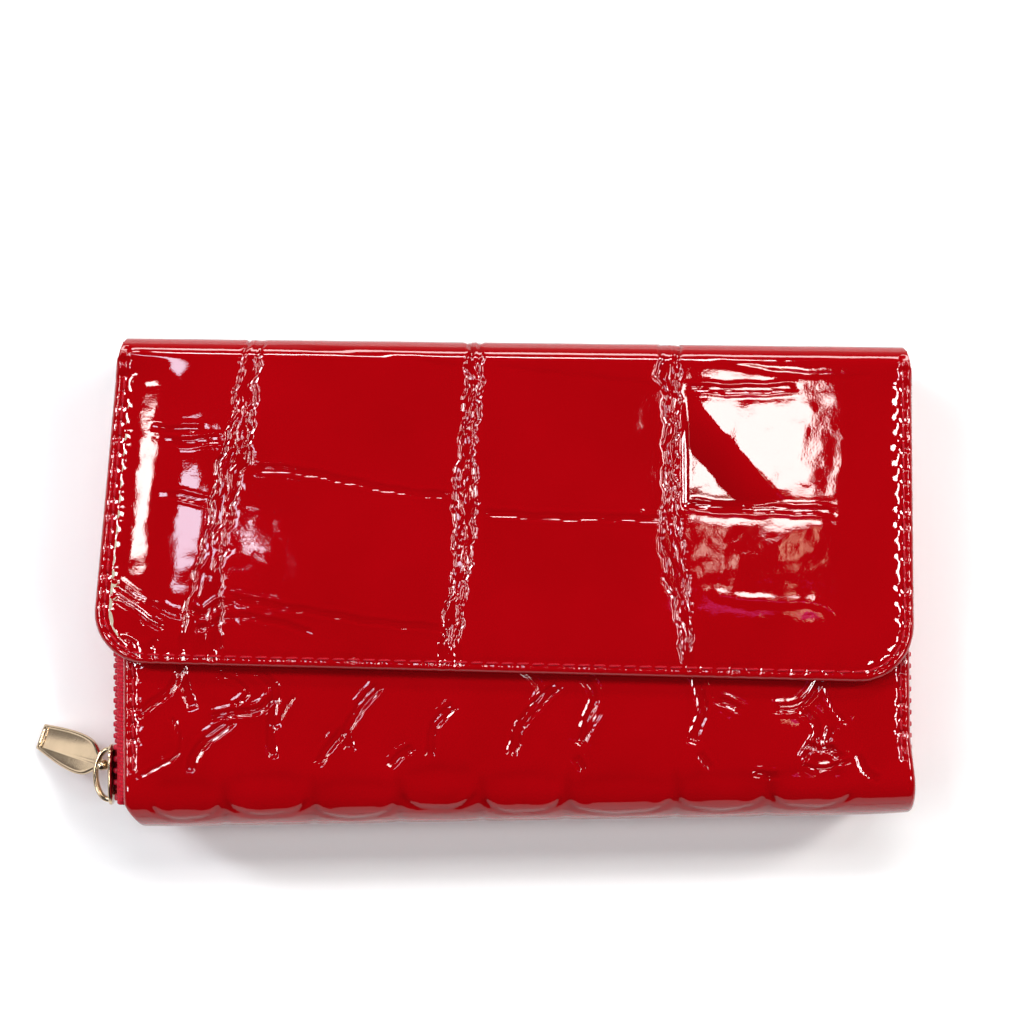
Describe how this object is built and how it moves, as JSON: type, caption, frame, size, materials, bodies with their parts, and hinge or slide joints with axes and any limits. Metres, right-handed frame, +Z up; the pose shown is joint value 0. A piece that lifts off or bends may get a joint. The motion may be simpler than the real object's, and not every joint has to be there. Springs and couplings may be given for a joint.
{
  "type": "zip around wallet",
  "caption": "Zip around wallet in glossy croc-embossed leather: two covers on a bottom spine, a long front flap, a zipped coin pocket and card slips, lying on its back.",
  "frame": {"origin": "on the resting back face, at the middle of the panels' width and of the body's length", "axes": "+X to the right along the width, +Y from the bottom spine towards the flap's fold, +Z up out of the front"},
  "size_m": [0.1836, 0.098, 0.0336],
  "materials": {
    "patent_leather": "high-gloss patent with a croc embossing",
    "lining_leather": "smooth, semi-matt",
    "lining_fabric": "fine woven lining",
    "board": "plain pressed board",
    "zip_tape": "woven polyester tape",
    "zip_teeth": "satin moulded teeth",
    "gold_metal": "polished pale gold plating",
    "snap_metal": "polished"
  },
  "bodies": {
    "root": {"back_panel": "patent_leather", "spine_back": "patent_leather", "back_stiffener": "board", "back_lining": "lining_fabric", "card_slip_back_1": "lining_leather", "card_slip_back_2": "lining_leather", "card_slip_back_3": "lining_leather", "card_slip_back_4": "lining_leather", "zip_tape_back": "zip_tape", "zip_teeth_back": "zip_teeth", "zip_stops_back": "zip_teeth", "gusset_left": "lining_fabric", "gusset_right": "lining_fabric"},
    "coin_pocket": {"coin_rear_wall": "lining_fabric", "coin_front_wall": "lining_fabric", "coin_binding": "lining_leather", "coin_tape_rear": "zip_tape", "coin_tape_front": "zip_tape", "coin_teeth_rear": "zip_teeth", "coin_teeth_front": "zip_teeth"},
    "front_cover": {"front_panel": "patent_leather", "spine_front": "patent_leather", "front_stiffener": "board", "front_lining": "lining_fabric", "card_slip_front_1": "lining_leather", "card_slip_front_2": "lining_leather", "card_slip_front_3": "lining_leather", "card_slip_front_4": "lining_leather", "zip_tape_front": "zip_tape", "zip_teeth_front": "zip_teeth", "zip_stops_front": "zip_teeth", "snap_stud": "snap_metal", "snap_stud_washer": "snap_metal"},
    "flap_spine": {"flap_spine_outer": "patent_leather", "flap_spine_lining": "lining_fabric"},
    "flap": {"flap_outer": "patent_leather", "flap_stiffener": "board", "flap_lining": "lining_fabric", "snap_socket": "snap_metal", "snap_socket_washer": "snap_metal"},
    "zip_slider": {"slider_body": "gold_metal", "slider_bridge": "gold_metal"},
    "zip_pull": {"pull_tab": "gold_metal"},
    "coin_slider": {"coin_slider_body": "gold_metal", "coin_slider_bridge": "gold_metal"},
    "coin_pull": {"coin_pull_tab": "gold_metal"}
  },
  "joints": [
    {"name": "cover_open", "type": "hinge", "parent": "root", "child": "front_cover", "pos_m": [0, -0.04894, 0.0165], "axis": [1, 0, 0], "range_deg": [0, 20], "deforming": ["gusset_left", "gusset_right"]},
    {"name": "coin_pocket_turn", "type": "hinge", "parent": "root", "child": "coin_pocket", "pos_m": [0, -0.04894, 0.0165], "axis": [1, 0, 0], "range_deg": [0, 10]},
    {"name": "flap_spine_turn", "type": "hinge", "parent": "root", "child": "flap_spine", "pos_m": [0, 0.049, 0], "axis": [-1, 0, 0], "range_deg": [0, 90]},
    {"name": "flap_fold", "type": "hinge", "parent": "flap_spine", "child": "flap", "pos_m": [0, 0.049, 0.0336], "axis": [-1, 0, 0], "range_deg": [0, 90]},
    {"name": "zip_slide", "type": "slide", "parent": "root", "child": "zip_slider", "axis": [0, 1, 0], "range_m": [0, 0.06]},
    {"name": "pull_swing", "type": "hinge", "parent": "zip_slider", "child": "zip_pull", "pos_m": [-0.08575, -0.037, 0.0165], "axis": [0, 0, 1], "range_deg": [-25, 70]},
    {"name": "coin_slide", "type": "slide", "parent": "coin_pocket", "child": "coin_slider", "axis": [1, 0, 0], "range_m": [0, 0.1]},
    {"name": "coin_pull_swing", "type": "hinge", "parent": "coin_slider", "child": "coin_pull", "pos_m": [-0.052, 0.02685, 0.0155], "axis": [0, 0, 1], "range_deg": [0, 170]}
  ],
  "couplings": [
    {"joint": "coin_pocket_turn", "follows": "cover_open", "ratio": 0.5},
    {"joint": "flap_spine_turn", "follows": "cover_open", "ratio": 4.5}
  ]
}
